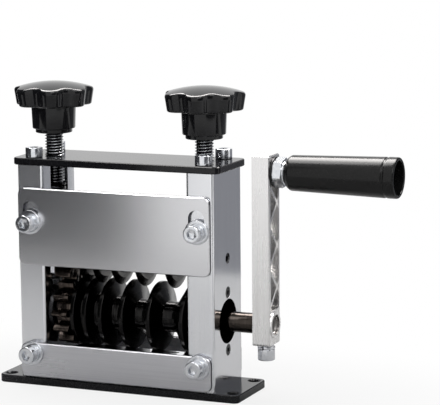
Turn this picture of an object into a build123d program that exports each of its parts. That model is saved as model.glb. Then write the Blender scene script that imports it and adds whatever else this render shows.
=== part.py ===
from build123d import *
import math
import os

# Hand crank wire stripper. Millimetres, +Z up, +Y to the back, crank on the +X side.
# The origin is the middle of the underside of the base plate.

# ---- frame -------------------------------------------------------------------
frame_span = 105.0                              # over the outer faces of the posts
post_width, post_depth, post_height = 14.1, 36.0, 107.0
post_corner_radius = 1.4                        # long edges of the posts
base_overhang_x, base_overhang_y = 12.5, 1.0    # base plate past the posts
base_thickness, base_corner_radius = 4.0, 3.0
mount_edge_x, mount_edge_y = 4.5, 5.0           # bench holes from the edges of the base
mount_hole_radius, mount_sink_radius, mount_sink_depth = 2.75, 3.4, 0.65
top_plate_overhang, top_plate_thickness = 3.0, 3.5
plate_corner_radius = 3.5
plate_thickness = 2.0                           # both front plates
plate_inset = 1.0                               # sides of the plates within the posts
edge_softening = 0.4                            # broken edges of plates, blocks and shafts

# ---- fits --------------------------------------------------------------------
press_gap = 0.02                                # piece seated on or in its own body
screw_gap = 0.05                                # screw in its hole, thread to thread
running_gap = 0.05                              # shaft or pin that turns in a bore
slide_gap = 0.10                                # flat faces that slide on each other
body_gap = 0.30                                 # curved faces of different moving bodies

# ---- shafts, gears and the two stacks -----------------------------------------
shaft_radius = 5.0
lower_axis_z = 36.3
axis_distance = 31.1                            # the blades' working height
gear_module, gear_teeth = 2.5, 12
gear_backlash = 0.25                            # taken off each tooth at the pitch circle
pressure_angle = math.radians(20)
gear_phase = 1.7                                # degrees, lower gear tooth past the front
gear_from_post, gear_width = 2.75, 8.35
gear_rim_chamfer = 0.5
key_width, key_height, key_length = 3.0, 2.6, 7.0
first_rim_from_gear, last_rim_from_post = 3.0, 3.8
rim_pitches = [6.6, 8.6, 11.6, 14.4, 17.7]      # from rim to rim, in proportion
rim_radius, rim_half_width = 17.4, 1.0
groove_hub_radii = [11.0, 10.0, 8.6, 7.6, 7.6]  # the narrow grooves are shallow
steep_share, slant_share = 0.18, 0.43           # of a groove's free width, its two walls
disc_end_margin = 0.5                           # hub past the first and the last rim
blade_radius, blade_half_width = 16.3, 1.2
blade_bevel, blade_edge_half = 3.5, 0.1
spacer_radius = 9.0
upper_stack_from_post = 3.4
circlip_radius, circlip_thickness = 7.6, 1.0
circlip_mouth = 4.0

# ---- bearings of the lower shaft -----------------------------------------------
bearing_radius, bearing_width = 11.0, 6.0
flange_radius, flange_thickness = 12.5, 1.0     # the bearings' flanges, on the inner faces
race_wall, ball_count = 1.7, 9
inner_race_radius = 6.7
ball_gap = 0.05
retainer_pitch = 14.3                           # retainer screws above and below the bore
retainer_head_radius, retainer_head_depth = 2.95, 1.6
retainer_shank_radius, retainer_length = 1.9, 5.5

# ---- sliding blocks, springs and knob screws -----------------------------------
knob_from_post = 2.3                            # knob axis behind the post's inner face
block_proud, slot_back_wall = 1.4, 6.1          # block past that face, post behind its slot
block_side_wall = 8.6                           # post in front of and behind the block
block_bottom_z, block_top_z = 56.0, 86.5
pocket_floor_z = 50.0
bush_radius = 7.0
seat_thickness, upper_seat_thickness, seat_radius = 1.5, 0.6, 5.5
spring_outer_radius, spring_wire_radius = 5.4, 0.75
spring_height, spring_turns = 11.4, 4.5
return_outer_radius, return_wire_radius = 3.4, 0.5
return_turns = 3.0
side_screw_radius, side_screw_length, side_screw_sunk = 2.75, 5.0, 0.4
side_socket_flats, side_socket_depth = 3.0, 2.5
knob_screw_radius = 4.75
knob_collar_radius, knob_collar_start, knob_hub_start = 9.2, 11.3, 13.4
knob_hub_radius, knob_hub_foot = 11.2, 10.7     # the hub tapers a little downwards
knob_rim_start, knob_rim_end, knob_crown_end = 24.9, 33.4, 36.8
knob_radius, knob_lobes, lobe_radius = 20.2, 7, 6.0
knob_valley_radius, knob_edge_round = 17.1, 1.6
left_knob_phase, right_knob_phase = 20.9, 9.1   # degrees of a lobe past the front

# ---- screws with hexagon sockets ------------------------------------------------
cap_head_radius, cap_head_height = 4.25, 5.0
cap_shank_radius, cap_socket_flats, cap_socket_depth = 2.5, 4.0, 2.6
cap_edge = 0.4
flat_washer_radius, flat_washer_thickness = 6.0, 1.2
spring_washer_radius, spring_washer_thickness = 4.5, 1.3
spring_washer_slit = 0.8
top_screw_edge_x, top_screw_edge_y, top_screw_length = 6.9, 5.3, 12.0
front_screw_edge, front_screw_depth = 6.5, 7.0  # from the plate's side; depth held in the post
cover_screw_z, lower_screw_z = 83.0, 16.7
base_screw_edge_x, base_screw_edge_y, base_screw_length = 6.8, 7.5, 8.0
base_screw_head_radius, base_screw_head_depth = 4.6, 2.6

# ---- front plates ----------------------------------------------------------------
cover_bottom_z, cover_top_z = 61.3, 99.9
slot_half_width, slot_inset = 4.2, 0.4          # slots a little nearer together than screws
cover_drop = 4.8                                # how far the cover can be lowered
slot_lower_margin = 0.3
lower_plate_bottom_z, lower_plate_top_z = 4.5, 21.8
table_from_left_post, table_from_right_post, table_slant = 14.4, 0.4, 3.0
table_reach, table_top_z, table_thickness = 7.8, 21.5, 1.5
table_leg_z = 8.0
notch_from_post, notch_width, notch_depth = 8.9, 4.5, 2.2

# ---- crank -------------------------------------------------------------------------
arm_from_post, arm_thickness, arm_width = 15.5, 9.0, 13.8
arm_bottom_z, arm_top_z = 26.5, 119.4
arm_corner_radius, arm_edge = 1.2, 0.5
truss_bottom_z, truss_top_z, truss_depth = 43.8, 105.8, 5.2
truss_wall, truss_rib, truss_bays = 1.6, 1.5, 6
truss_rib_low = 0.8                             # rib tops below the face of the arm
bore_ring_radius, bore_ring_height = 6.4, 0.5
shaft_sunk_left, shaft_sunk_right = 2.0, 0.6
clamp_head_radius, clamp_head_height, clamp_neck = 4.2, 5.6, 2.2
grip_axis_z = 111.0
arm_washer_radius, arm_washer_thickness = 7.4, 1.2
locknut_flats, locknut_thickness = 13.0, 4.4
locknut_collar_radius, locknut_collar_length = 5.6, 0.7     # the round end with the nylon ring
spindle_radius, spindle_head_radius, spindle_head_height = 4.0, 6.5, 4.0
grip_length = 55.8
grip_inner_radius, grip_outer_radius = 8.5, 9.9     # small end at the arm, large end outboard
grip_shoulder = 2.6
grip_bore_radius, grip_bore_depth = 8.2, 17.0
ring_groove_from_end, ring_groove_width, ring_groove_depth = 5.0, 1.4, 0.4

# ---- worked out from the above --------------------------------------------------------
post_outer = frame_span / 2
post_inner = post_outer - post_width
post_front = -post_depth / 2
base_length, base_depth = frame_span + 2 * base_overhang_x, post_depth + 2 * base_overhang_y
mount_pitch_x, mount_pitch_y = base_length - 2 * mount_edge_x, base_depth - 2 * mount_edge_y
plate_width = frame_span - 2 * plate_inset
front_screw_x = plate_width / 2 - front_screw_edge
top_screw_x, top_screw_y = post_outer - top_screw_edge_x, post_depth / 2 - top_screw_edge_y
base_screw_x, base_screw_y = post_outer - base_screw_edge_x, post_depth / 2 - base_screw_edge_y
knob_axis_x = post_inner + knob_from_post
block_inner_x, block_outer_x = post_inner - block_proud, post_outer - slot_back_wall
block_half_depth = post_depth / 2 - block_side_wall
post_top = base_thickness + post_height
plate_top = post_top + top_plate_thickness
upper_axis_z = lower_axis_z + axis_distance
pitch_radius = gear_module * gear_teeth / 2
cover_back = post_front - slide_gap
cover_front = cover_back - plate_thickness
seat_top_z = block_top_z + seat_thickness
spring_top_z = seat_top_z + spring_height
screw_tip_z = spring_top_z + upper_seat_thickness
bearing_inner_x = post_inner - flange_thickness
bearing_outer_x = bearing_inner_x + bearing_width
gear_left = -post_inner + gear_from_post
gear_right = gear_left + gear_width
first_rim, last_rim = gear_right + first_rim_from_gear, post_inner - last_rim_from_post
pitch_scale = (last_rim - first_rim) / sum(rim_pitches)
rim_positions = [first_rim + pitch_scale * sum(rim_pitches[:k]) for k in range(len(rim_pitches) + 1)]
upper_stack_right = post_inner - upper_stack_from_post
stack_left = rim_positions[0] - rim_half_width - disc_end_margin
stack_right = rim_positions[-1] + rim_half_width + disc_end_margin
blade_positions = [(a + b) / 2 for a, b in zip(rim_positions, rim_positions[1:])]
table_left_x, table_right_x = -post_inner + table_from_left_post, post_inner - table_from_right_post
table_back_y, notch_x = post_front + table_reach, post_inner - notch_from_post
arm_inner_x = post_outer + arm_from_post
arm_outer_x = arm_inner_x + arm_thickness
locknut_x = arm_outer_x + arm_washer_thickness
grip_start = locknut_x + locknut_thickness + locknut_collar_length + body_gap
grip_end = grip_start + grip_length
SIDES = {"left": -1, "right": 1}


# ---- shapes that several pieces are cut from --------------------------------------------
def block(x0, x1, y0, y1, z0, z1):
    """A square-edged block between two corners."""
    return Pos((x0 + x1) / 2, (y0 + y1) / 2, (z0 + z1) / 2) * Box(x1 - x0, y1 - y0, z1 - z0)


def rod_x(radius, x0, x1, y=0.0, z=0.0):
    """A round rod along X; its two ends may be given in either order."""
    return Pos((x0 + x1) / 2, y, z) * Rot(0, 90, 0) * Cylinder(radius, abs(x1 - x0))


def rod_y(radius, y0, y1, x, z):
    return Pos(x, (y0 + y1) / 2, z) * Rot(90, 0, 0) * Cylinder(radius, abs(y1 - y0))


def rod_z(radius, z0, z1, x=0.0, y=0.0):
    return Pos(x, y, (z0 + z1) / 2) * Cylinder(radius, abs(z1 - z0))


def turned_x(points, z):
    """A turned piece about a line along X at height z; points are (x, radius)."""
    return Pos(0, 0, z) * revolve(make_face(Polyline(*points, close=True)), Axis.X)


def turned_z(points, x, z):
    """A turned piece about an upright line; points are (radius, height above z)."""
    outline = [(radius, 0, height) for radius, height in points]
    return Pos(x, 0, z) * revolve(make_face(Polyline(*outline, close=True)), Axis.Z)


def hexagon(flats, height):
    """A hexagonal prism standing on z = 0."""
    return extrude(RegularPolygon(flats / 2, 6, major_radius=False), height)


def cap_screw(head_radius, head_height, shank_radius, shank_length, grip=0.0):
    """A socket cap screw, head up: the head stands on z = grip, the shank goes down to
    z = -shank_length, so grip is what lies between the head and the tapped hole."""
    head = chamfer(Cylinder(head_radius, head_height).edges(), cap_edge)
    head = Pos(0, 0, grip + head_height / 2) * head
    socket = Pos(0, 0, grip + head_height - cap_socket_depth) * hexagon(cap_socket_flats, cap_socket_depth)
    shank = rod_z(shank_radius - screw_gap, -shank_length, grip + cap_edge)
    return head + shank - socket


def countersunk_screw(head_radius, head_depth, shank_radius, length):
    """A flat-head screw with its face on z = 0, pointing down, with a hexagon socket."""
    shank = shank_radius - screw_gap
    cone = [(0, 0), (head_radius - screw_gap, 0), (shank, -head_depth), (shank, -length), (0, -length)]
    return turned_z(cone, 0, 0) - Pos(0, 0, -head_depth / 2) * hexagon(shank_radius * 1.2, head_depth)


def countersunk_hole(head_radius, head_depth, shank_radius, length):
    """The hole for such a screw, with its mouth carried a little past z = 0."""
    past = 1.0
    cone = [(0, past), (head_radius, past), (head_radius, 0), (shank_radius, -head_depth),
            (shank_radius, -length), (0, -length)]
    return turned_z(cone, 0, 0)


def washer(outer, inner, thickness):
    ring = Cylinder(outer, thickness) - Cylinder(inner, thickness)
    return Pos(0, 0, thickness / 2) * ring


def plate(width, height, thickness, radius):
    """A flat plate with round corners and broken edges, standing on z = 0."""
    blank = extrude(RectangleRounded(width, height, radius), thickness)
    return chamfer(blank.edges().group_by(Axis.Z)[0] + blank.edges().group_by(Axis.Z)[-1], edge_softening)


def facing_front(piece, x, y, z):
    """Turns a piece made looking up so that it looks to the front."""
    return Pos(x, y, z) * Rot(90, 0, 0) * piece


def facing_side(piece, side, x, y, z):
    return Pos(side * x, y, z) * Rot(0, 90 * side, 0) * piece


def coil(radius, wire, height, turns, x, z):
    """A coil spring about an upright line: one tube swept on pairs of arcs, two to each
    quarter turn, that follow the helix and share its tangents."""
    climb = (height - 2 * wire) / turns
    rise = climb / (2 * math.pi)
    steps = round(4 * turns)
    arcs = []

    def place(k):
        a = k * math.pi / 2
        return Vector(radius * math.cos(a), radius * math.sin(a), wire + climb * k / 4)

    def heading(k):
        a = k * math.pi / 2
        return Vector(-radius * math.sin(a), radius * math.cos(a), rise).normalized()

    for k in range(steps):
        p, q, t, u = place(k), place(k + 1), heading(k), heading(k + 1)
        v = q - p
        along, spread = v.dot(t + u), 2 * (1 - t.dot(u))
        reach = (-along + math.sqrt(along ** 2 + spread * v.dot(v))) / spread
        a, b = p + t * reach, q - u * reach
        middle = (a + b) * 0.5
        arcs.append(Edge.make_tangent_arc(p, t, middle))
        arcs.append(Edge.make_tangent_arc(middle, b - a, q))
    path = Wire(arcs)
    section = Plane(origin=place(0), z_dir=heading(0)) * Circle(wire)
    spring = sweep(section, path=path)
    length = turns * math.hypot(2 * math.pi * radius, climb)
    print(f"spring: least gap between turns {climb - 2 * wire:.2f} mm, "
          f"volume over section times length {spring.volume / (math.pi * wire ** 2 * length):.3f}")
    return Pos(x, 0, z) * spring


# ---- frame pieces --------------------------------------------------------------------
def base_plate():
    blank = plate(base_length, base_depth, base_thickness, base_corner_radius)
    for x in (-mount_pitch_x / 2, mount_pitch_x / 2):
        for y in (-mount_pitch_y / 2, mount_pitch_y / 2):
            hole = countersunk_hole(mount_sink_radius, mount_sink_depth, mount_hole_radius,
                                    base_thickness + 1)
            blank -= Pos(x, y, base_thickness) * hole
    hole = countersunk_hole(base_screw_head_radius, base_screw_head_depth, cap_shank_radius,
                            base_thickness + 1)
    for x, y in base_screw_places():
        blank -= Pos(x, y, 0) * Rot(180, 0, 0) * hole
    return blank


def base_screw_places():
    return [(x, y) for x in (-base_screw_x, base_screw_x) for y in (-base_screw_y, base_screw_y)]


def base_screws():
    length = base_thickness + base_screw_length
    screw = countersunk_screw(base_screw_head_radius, base_screw_head_depth, cap_shank_radius, length)
    return [Pos(x, y, 0) * Rot(180, 0, 0) * screw for x, y in base_screw_places()]


def post(side):
    """One upright: bored for the bearing of the lower shaft, and with a slot down its inner
    face in which the block of the blade shaft slides under the knob screw."""
    x0, x1 = sorted((side * post_inner, side * post_outer))
    body = block(x0, x1, -post_depth / 2, post_depth / 2, base_thickness, post_top)
    body = fillet(body.edges().filter_by(Axis.Z), post_corner_radius)
    body -= rod_x(bearing_radius, x0 - 1, x1 + 1, 0, lower_axis_z)
    wall = block_half_depth + slide_gap
    a, b = sorted((side * (post_inner - 1), side * (block_outer_x + slide_gap)))
    body -= block(a, b, -wall, wall, pocket_floor_z, post_top + 1)
    for y in (-top_screw_y, top_screw_y):
        body -= rod_z(cap_shank_radius, post_top - top_screw_length, post_top + 1, side * top_screw_x, y)
    for y in (-base_screw_y, base_screw_y):
        body -= rod_z(cap_shank_radius, 0, base_thickness + base_screw_length, side * base_screw_x, y)
    for z in (cover_screw_z, lower_screw_z):
        body -= rod_y(cap_shank_radius, post_front - 1, post_front + front_screw_depth,
                      side * front_screw_x, z)
    body -= rod_y(cap_shank_radius, -post_front - front_screw_depth, -post_front + 1,
                  side * front_screw_x, lower_screw_z)
    body -= rod_x(side_screw_radius, side * (block_outer_x - 1), side * (post_outer + 1), 0, upper_axis_z)
    hole = countersunk_hole(retainer_head_radius, retainer_head_depth, retainer_shank_radius,
                            retainer_length)
    for z in retainer_heights():
        body -= facing_side(hole, side, post_outer, 0, z)
    return body


def retainer_heights():
    return (lower_axis_z - retainer_pitch, lower_axis_z + retainer_pitch)


def retainer_screws():
    screw = countersunk_screw(retainer_head_radius, retainer_head_depth, retainer_shank_radius,
                              retainer_length - 1)
    return [facing_side(screw, side, post_outer, 0, z)
            for side in SIDES.values() for z in retainer_heights()]


def side_screws():
    """Set screws level with the blade shaft that close the slide of each block."""
    body = Cylinder(side_screw_radius - screw_gap, side_screw_length)
    body = chamfer(body.edges(), cap_edge)
    screw = Pos(0, 0, -side_screw_length / 2) * body
    screw -= Pos(0, 0, -side_socket_depth) * hexagon(side_socket_flats, side_socket_depth + 1)
    return [facing_side(screw, side, post_outer - side_screw_sunk, 0, upper_axis_z)
            for side in SIDES.values()]


def top_plate():
    """The tapped plate over the posts, in which the knob screws turn."""
    blank = Pos(0, 0, post_top) * plate(frame_span + 2 * top_plate_overhang, post_depth,
                                        top_plate_thickness, plate_corner_radius)
    for side in SIDES.values():
        blank -= rod_z(knob_screw_radius + screw_gap, post_top - 1, plate_top + 1, side * knob_axis_x)
    for x, y in top_screw_places():
        blank -= rod_z(cap_shank_radius, post_top - 1, plate_top + 1, x, y)
    return blank


def top_screw_places():
    return [(x, y) for x in (-top_screw_x, top_screw_x) for y in (-top_screw_y, top_screw_y)]


def top_plate_screws():
    held = top_screw_length - 1
    screw = cap_screw(cap_head_radius, cap_head_height, cap_shank_radius, held, top_plate_thickness)
    return [Pos(x, y, post_top) * screw for x, y in top_screw_places()]


def front_screw(height):
    """A cap screw with its washers, for one side and one height of the front."""
    grip = slide_gap + plate_thickness + flat_washer_thickness + spring_washer_thickness
    screw = cap_screw(cap_head_radius, cap_head_height, cap_shank_radius, front_screw_depth, grip)
    return [facing_front(screw, side * front_screw_x, post_front, height) for side in SIDES.values()]


def front_washer_places():
    return [(side * front_screw_x, z) for z in (cover_screw_z, lower_screw_z) for side in SIDES.values()]


def flat_washers():
    ring = washer(flat_washer_radius, cap_shank_radius, flat_washer_thickness)
    return [facing_front(ring, x, cover_front, z) for x, z in front_washer_places()]


def spring_washers():
    """Split rings, their slits up, between each flat washer and the screw head."""
    ring = washer(spring_washer_radius, cap_shank_radius, spring_washer_thickness)
    slit = Rot(0, 0, 30) * block(-spring_washer_slit / 2, spring_washer_slit / 2, 0,
                                 spring_washer_radius + 1, -1, spring_washer_thickness + 1)
    y = cover_front - flat_washer_thickness
    return [facing_front(ring - slit, x, y, z) for x, z in front_washer_places()]


def lower_front_plate():
    height = lower_plate_top_z - lower_plate_bottom_z
    thickness = plate_thickness + slide_gap
    blank = plate(plate_width, height, thickness, plate_corner_radius)
    blank = facing_front(blank, 0, post_front, (lower_plate_top_z + lower_plate_bottom_z) / 2)
    for side in SIDES.values():
        blank -= rod_y(cap_shank_radius, post_front + 1, post_front - thickness - 1,
                       side * front_screw_x, lower_screw_z)
    return blank


def lower_back_plate():
    """The same plate at the back, flat on the posts, held by two screws without washers."""
    height = lower_plate_top_z - lower_plate_bottom_z
    blank = plate(plate_width, height, plate_thickness, plate_corner_radius)
    blank = Pos(0, -post_front, (lower_plate_top_z + lower_plate_bottom_z) / 2) * Rot(-90, 0, 0) * blank
    for side in SIDES.values():
        blank -= rod_y(cap_shank_radius, -post_front - 1, -post_front + plate_thickness + 1,
                       side * front_screw_x, lower_screw_z)
    return blank


def back_plate_screws():
    screw = cap_screw(cap_head_radius, cap_head_height, cap_shank_radius, front_screw_depth, plate_thickness)
    return [Pos(side * front_screw_x, -post_front, lower_screw_z) * Rot(-90, 0, 0) * screw
            for side in SIDES.values()]


def feed_table():
    """A bent strip behind the lower plate that carries the wire to the discs."""
    reach = post_front - table_back_y
    under = table_top_z - table_thickness
    corners = [(table_left_x, post_front), (table_right_x, post_front), (table_right_x, table_back_y),
               (table_left_x + table_slant, table_back_y)]
    shelf = Pos(0, 0, under) * extrude(make_face(Polyline(*corners, close=True)), table_thickness)
    leg = block(table_left_x, table_right_x, post_front, post_front + table_thickness,
                table_leg_z, under)
    half = notch_width / 2
    notch = block(notch_x - half, notch_x + half, post_front - reach / 2, post_front - reach / 2 + notch_depth,
                  under - 1, table_top_z + 1)
    return shelf + leg - notch


def cover_plate():
    """The sliding cover over the blades, with a slot for each of its two screws."""
    height = cover_top_z - cover_bottom_z
    blank = plate(plate_width, height, plate_thickness, plate_corner_radius)
    middle = (cover_top_z + cover_bottom_z) / 2
    low = cover_screw_z - slot_lower_margin
    high = cover_screw_z + cover_drop + slot_half_width - cap_shank_radius
    slot = extrude(SlotCenterToCenter(high - low, slot_half_width * 2, rotation=90), plate_thickness)
    for side in SIDES.values():
        blank -= Pos(side * (front_screw_x - slot_inset), (low + high) / 2 - middle, 0) * slot
    return facing_front(blank, 0, cover_back, middle)


# ---- bearings of the lower shaft --------------------------------------------------------
def bearing_outer_races():
    """Outer rings pressed into the posts from inside, each with a flange on the post's face."""
    inner, outer = bearing_radius - race_wall, bearing_radius - press_gap
    races = []
    for side in SIDES.values():
        flange_end = side * post_inner
        ring = rod_x(outer, flange_end, side * bearing_outer_x, 0, lower_axis_z)
        ring += rod_x(flange_radius, side * bearing_inner_x, flange_end, 0, lower_axis_z)
        races.append(ring - rod_x(inner, side * (bearing_inner_x - 1), side * (bearing_outer_x + 1), 0,
                                  lower_axis_z))
    return races


def bearing_inner_races():
    shift = (bearing_inner_x + bearing_outer_x) / 2
    ring = Cylinder(inner_race_radius, bearing_width) - Cylinder(shaft_radius + press_gap, bearing_width)
    return [facing_side(ring, side, shift, 0, lower_axis_z) for side in SIDES.values()]


def bearing_balls():
    outer = bearing_radius - race_wall
    ball = Sphere((outer - inner_race_radius) / 2 - ball_gap)
    middle = (outer + inner_race_radius) / 2
    x = (bearing_inner_x + bearing_outer_x) / 2
    balls = []
    for side in SIDES.values():
        for k in range(ball_count):
            a = 2 * math.pi * k / ball_count
            balls.append(Pos(side * x, middle * math.cos(a), lower_axis_z + middle * math.sin(a)) * ball)
    return balls


# ---- gears, discs and blades ---------------------------------------------------------------
def involute(angle):
    return math.tan(angle) - angle


def gear(z, phase):
    """A spur gear; phase is the angle of one tooth past the front, in the (-Y, Z) plane."""
    base = pitch_radius * math.cos(pressure_angle)
    tip, root = pitch_radius + gear_module, pitch_radius - 1.25 * gear_module
    half = (math.pi * gear_module / 2 - gear_backlash) / 2 / pitch_radius
    at_base = half + involute(pressure_angle)
    flank = [(root, at_base * 1.12), (root + 0.35 * gear_module, at_base * 0.92)]
    for share in (0.1, 0.4, 0.7, 1.0):
        r = base + (tip - base) * share
        flank.append((r, at_base - involute(math.acos(base / r))))
    outline = []
    for k in range(gear_teeth):
        middle = math.radians(phase) + 2 * math.pi * k / gear_teeth
        for r, a in flank:
            outline.append((-r * math.cos(middle - a), r * math.sin(middle - a)))
        for r, a in reversed(flank):
            outline.append((-r * math.cos(middle + a), r * math.sin(middle + a)))
    face = Plane.YZ * make_face(Polyline(*outline, close=True))
    body = Pos(gear_left, 0, 0) * extrude(face, gear_width)
    rim = [(gear_left, 0), (gear_left, tip - gear_rim_chamfer), (gear_left + gear_rim_chamfer, tip),
           (gear_right - gear_rim_chamfer, tip), (gear_right, tip - gear_rim_chamfer), (gear_right, 0)]
    body = Pos(0, 0, z) * body & turned_x(rim, z)
    body -= rod_x(shaft_radius + press_gap, gear_left - 1, gear_right + 1, 0, z)
    return body - keyway(z, press_gap)


def keyway(z, gap):
    """The space of the key that stands half in the shaft and half in the gear."""
    x = (gear_left + gear_right) / 2
    half_length, half_width = key_length / 2 + gap, key_width / 2 + gap
    z0, z1 = z + shaft_radius - key_height / 2 - gap, z + shaft_radius + key_height / 2 + gap
    return block(x - half_length, x + half_length, -half_width, half_width, z0, z1)


def upper_phase():
    """The upper gear has a gap where the lower gear has a tooth, mirrored between the axes."""
    return 180.0 / gear_teeth - gear_phase


def feed_disc(k):
    """One disc of the feed roller: a rim with a steep wall to its right and a slanted wall to
    its left, and a hub that meets the next disc's hub in the middle of the groove."""
    rim = rim_positions[k]
    left, right = rim - rim_half_width, rim + rim_half_width
    hub_left = groove_hub_radii[max(k - 1, 0)]
    hub_right = groove_hub_radii[min(k, len(groove_hub_radii) - 1)]
    if k == 0:
        start, foot_left = stack_left, stack_left
    else:
        free = rim - rim_positions[k - 1] - 2 * rim_half_width
        start, foot_left = (rim + rim_positions[k - 1]) / 2, left - slant_share * free
    if k == len(rim_positions) - 1:
        end, foot_right = stack_right, stack_right
    else:
        free = rim_positions[k + 1] - rim - 2 * rim_half_width
        end, foot_right = (rim + rim_positions[k + 1]) / 2, right + steep_share * free
    bore = shaft_radius + press_gap
    points = [(start, bore), (start, hub_left)]
    if foot_left > start:
        points.append((foot_left, hub_left))
    points += [(left, rim_radius), (right, rim_radius)]
    if foot_right < end:
        points.append((foot_right, hub_right))
    points += [(end, hub_right), (end, bore)]
    return turned_x(points, lower_axis_z)


def gear_spacer():
    bore = shaft_radius + press_gap
    return turned_x([(gear_right, bore), (gear_right, spacer_radius), (stack_left, spacer_radius),
                     (stack_left, bore)], lower_axis_z)


def blade(k):
    """A round blade, ground on both sides to its edge."""
    x, bore = blade_positions[k], shaft_radius + press_gap
    shoulder = blade_radius - blade_bevel
    points = [(x - blade_half_width, bore), (x - blade_half_width, shoulder),
              (x - blade_edge_half, blade_radius), (x + blade_edge_half, blade_radius),
              (x + blade_half_width, shoulder), (x + blade_half_width, bore)]
    return turned_x(points, upper_axis_z)


def blade_spacers():
    """Sleeves that keep the blades over the grooves of the feed discs."""
    starts = [gear_right] + [x + blade_half_width for x in blade_positions]
    ends = [x - blade_half_width for x in blade_positions] + [upper_stack_right]
    bore = shaft_radius + press_gap
    return [turned_x([(a, bore), (a, spacer_radius), (b, spacer_radius), (b, bore)], upper_axis_z)
            for a, b in zip(starts, ends)]


def circlips(right_face, z):
    """Open rings that hold a stack on its shaft, one at each end."""
    rings = []
    for x0 in (gear_left - circlip_thickness, right_face):
        x1 = x0 + circlip_thickness
        ring = rod_x(circlip_radius, x0, x1, 0, z) - rod_x(shaft_radius + press_gap, x0 - 1, x1 + 1, 0, z)
        half = circlip_mouth / 2
        rings.append(ring - block(x0 - 1, x1 + 1, -half, half, z - circlip_radius - 1, z))
    return rings


def shaft(x0, x1, z):
    rod = Cylinder(shaft_radius, x1 - x0)
    rod = chamfer(rod.edges(), edge_softening)
    return Pos((x0 + x1) / 2, 0, z) * Rot(0, 90, 0) * rod - keyway(z, 0)


def lower_shaft():
    return shaft(-post_outer + shaft_sunk_left, arm_outer_x - shaft_sunk_right, lower_axis_z)


def upper_shaft():
    return shaft(-block_outer_x, block_outer_x, upper_axis_z)


# ---- what the knob screws press down -----------------------------------------------------------
def slide_block(side):
    x0, x1 = sorted((side * block_inner_x, side * block_outer_x))
    body = block(x0, x1, -block_half_depth, block_half_depth, block_bottom_z, block_top_z)
    body = chamfer(body.edges().filter_by(Axis.Z), edge_softening)
    return body - rod_x(bush_radius, x0 - 1, x1 + 1, 0, upper_axis_z)


def block_bushes():
    return [rod_x(bush_radius - press_gap, side * block_inner_x, side * block_outer_x, 0, upper_axis_z)
            - rod_x(shaft_radius + running_gap, side * (block_inner_x - 1), side * (block_outer_x + 1), 0,
                    upper_axis_z) for side in SIDES.values()]


def spring_seats():
    """The two pads of each pressure spring: one on the block, a thin one under the screw."""
    pads = []
    for side in SIDES.values():
        for z, thickness in ((block_top_z, seat_thickness), (spring_top_z, upper_seat_thickness)):
            pad = Cylinder(seat_radius - press_gap, thickness)
            pad = chamfer(pad.edges(), edge_softening / 2)
            pads.append(Pos(side * knob_axis_x, 0, z + thickness / 2) * pad)
    return pads


def pressure_springs():
    radius = spring_outer_radius - spring_wire_radius
    return [coil(radius, spring_wire_radius, spring_height, spring_turns, side * knob_axis_x, seat_top_z)
            for side in SIDES.values()]


def return_springs():
    radius = return_outer_radius - return_wire_radius
    x = (block_outer_x + post_inner) / 2
    return [coil(radius, return_wire_radius, block_bottom_z - pocket_floor_z, return_turns, side * x,
                 pocket_floor_z) for side in SIDES.values()]


# ---- knobs -----------------------------------------------------------------------------------
def knob_stud(side):
    """The steel screw of a knob, from the pad on the spring up into the knob."""
    rod = Cylinder(knob_screw_radius, plate_top + knob_hub_start - screw_tip_z)
    rod = chamfer(rod.edges(), 2 * edge_softening)
    return Pos(side * knob_axis_x, 0, (plate_top + knob_hub_start + screw_tip_z) / 2) * rod


def lobed_outline(phase):
    """Equal lobes joined by hollows, every arc tangent to the next. A hollow's centre lies
    half way between two lobes, just so far out that it touches both and its own depth."""
    step = math.pi / knob_lobes
    centre, valley, lobe = knob_radius - lobe_radius, knob_valley_radius, lobe_radius
    across = centre * math.cos(step)
    hollow = (lobe ** 2 - valley ** 2 - centre ** 2 + 2 * valley * across) / (2 * (valley - across - lobe))

    def at(distance, angle):
        return Vector(distance * math.cos(angle), distance * math.sin(angle))

    def touch(lobe_angle, hollow_angle):
        a, b = at(centre, lobe_angle), at(valley + hollow, hollow_angle)
        return a + (b - a).normalized() * lobe

    arcs = []
    for k in range(knob_lobes):
        middle = math.radians(phase - 90) + 2 * step * k
        start, end = touch(middle, middle - step), touch(middle, middle + step)
        following = touch(middle + 2 * step, middle + step)
        arcs.append(ThreePointArc(start, at(knob_radius, middle), end))
        arcs.append(ThreePointArc(end, at(valley, middle + step), following))
    return make_face(Curve(children=arcs))


def knob_head(side, phase):
    """A lobed moulded knob, domed on top, on a round hub with a stepped foot."""
    outline = lobed_outline(phase)
    rim = extrude(outline, knob_rim_end - knob_rim_start)
    rim = fillet(rim.edges().group_by(Axis.Z)[-1] + rim.edges().group_by(Axis.Z)[0], knob_edge_round)
    head = Pos(0, 0, knob_rim_start) * rim
    foot = knob_valley_radius - knob_edge_round
    rise = knob_crown_end - knob_rim_end
    dome_radius = (foot ** 2 + rise ** 2) / (2 * rise)
    dome = Pos(0, 0, knob_crown_end - dome_radius) * Sphere(dome_radius)
    dome &= rod_z(foot, knob_rim_end - 1, knob_crown_end + 1)
    hub = [(0, knob_collar_start), (knob_collar_radius, knob_collar_start),
           (knob_collar_radius, knob_hub_start), (knob_hub_foot, knob_hub_start),
           (knob_hub_radius, knob_rim_start + knob_edge_round), (0, knob_rim_start + knob_edge_round)]
    socket = Cylinder(knob_screw_radius + press_gap, knob_hub_start * 2)
    body = head + dome + turned_z(hub, 0, 0) - socket
    return Pos(side * knob_axis_x, 0, plate_top) * body


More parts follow.
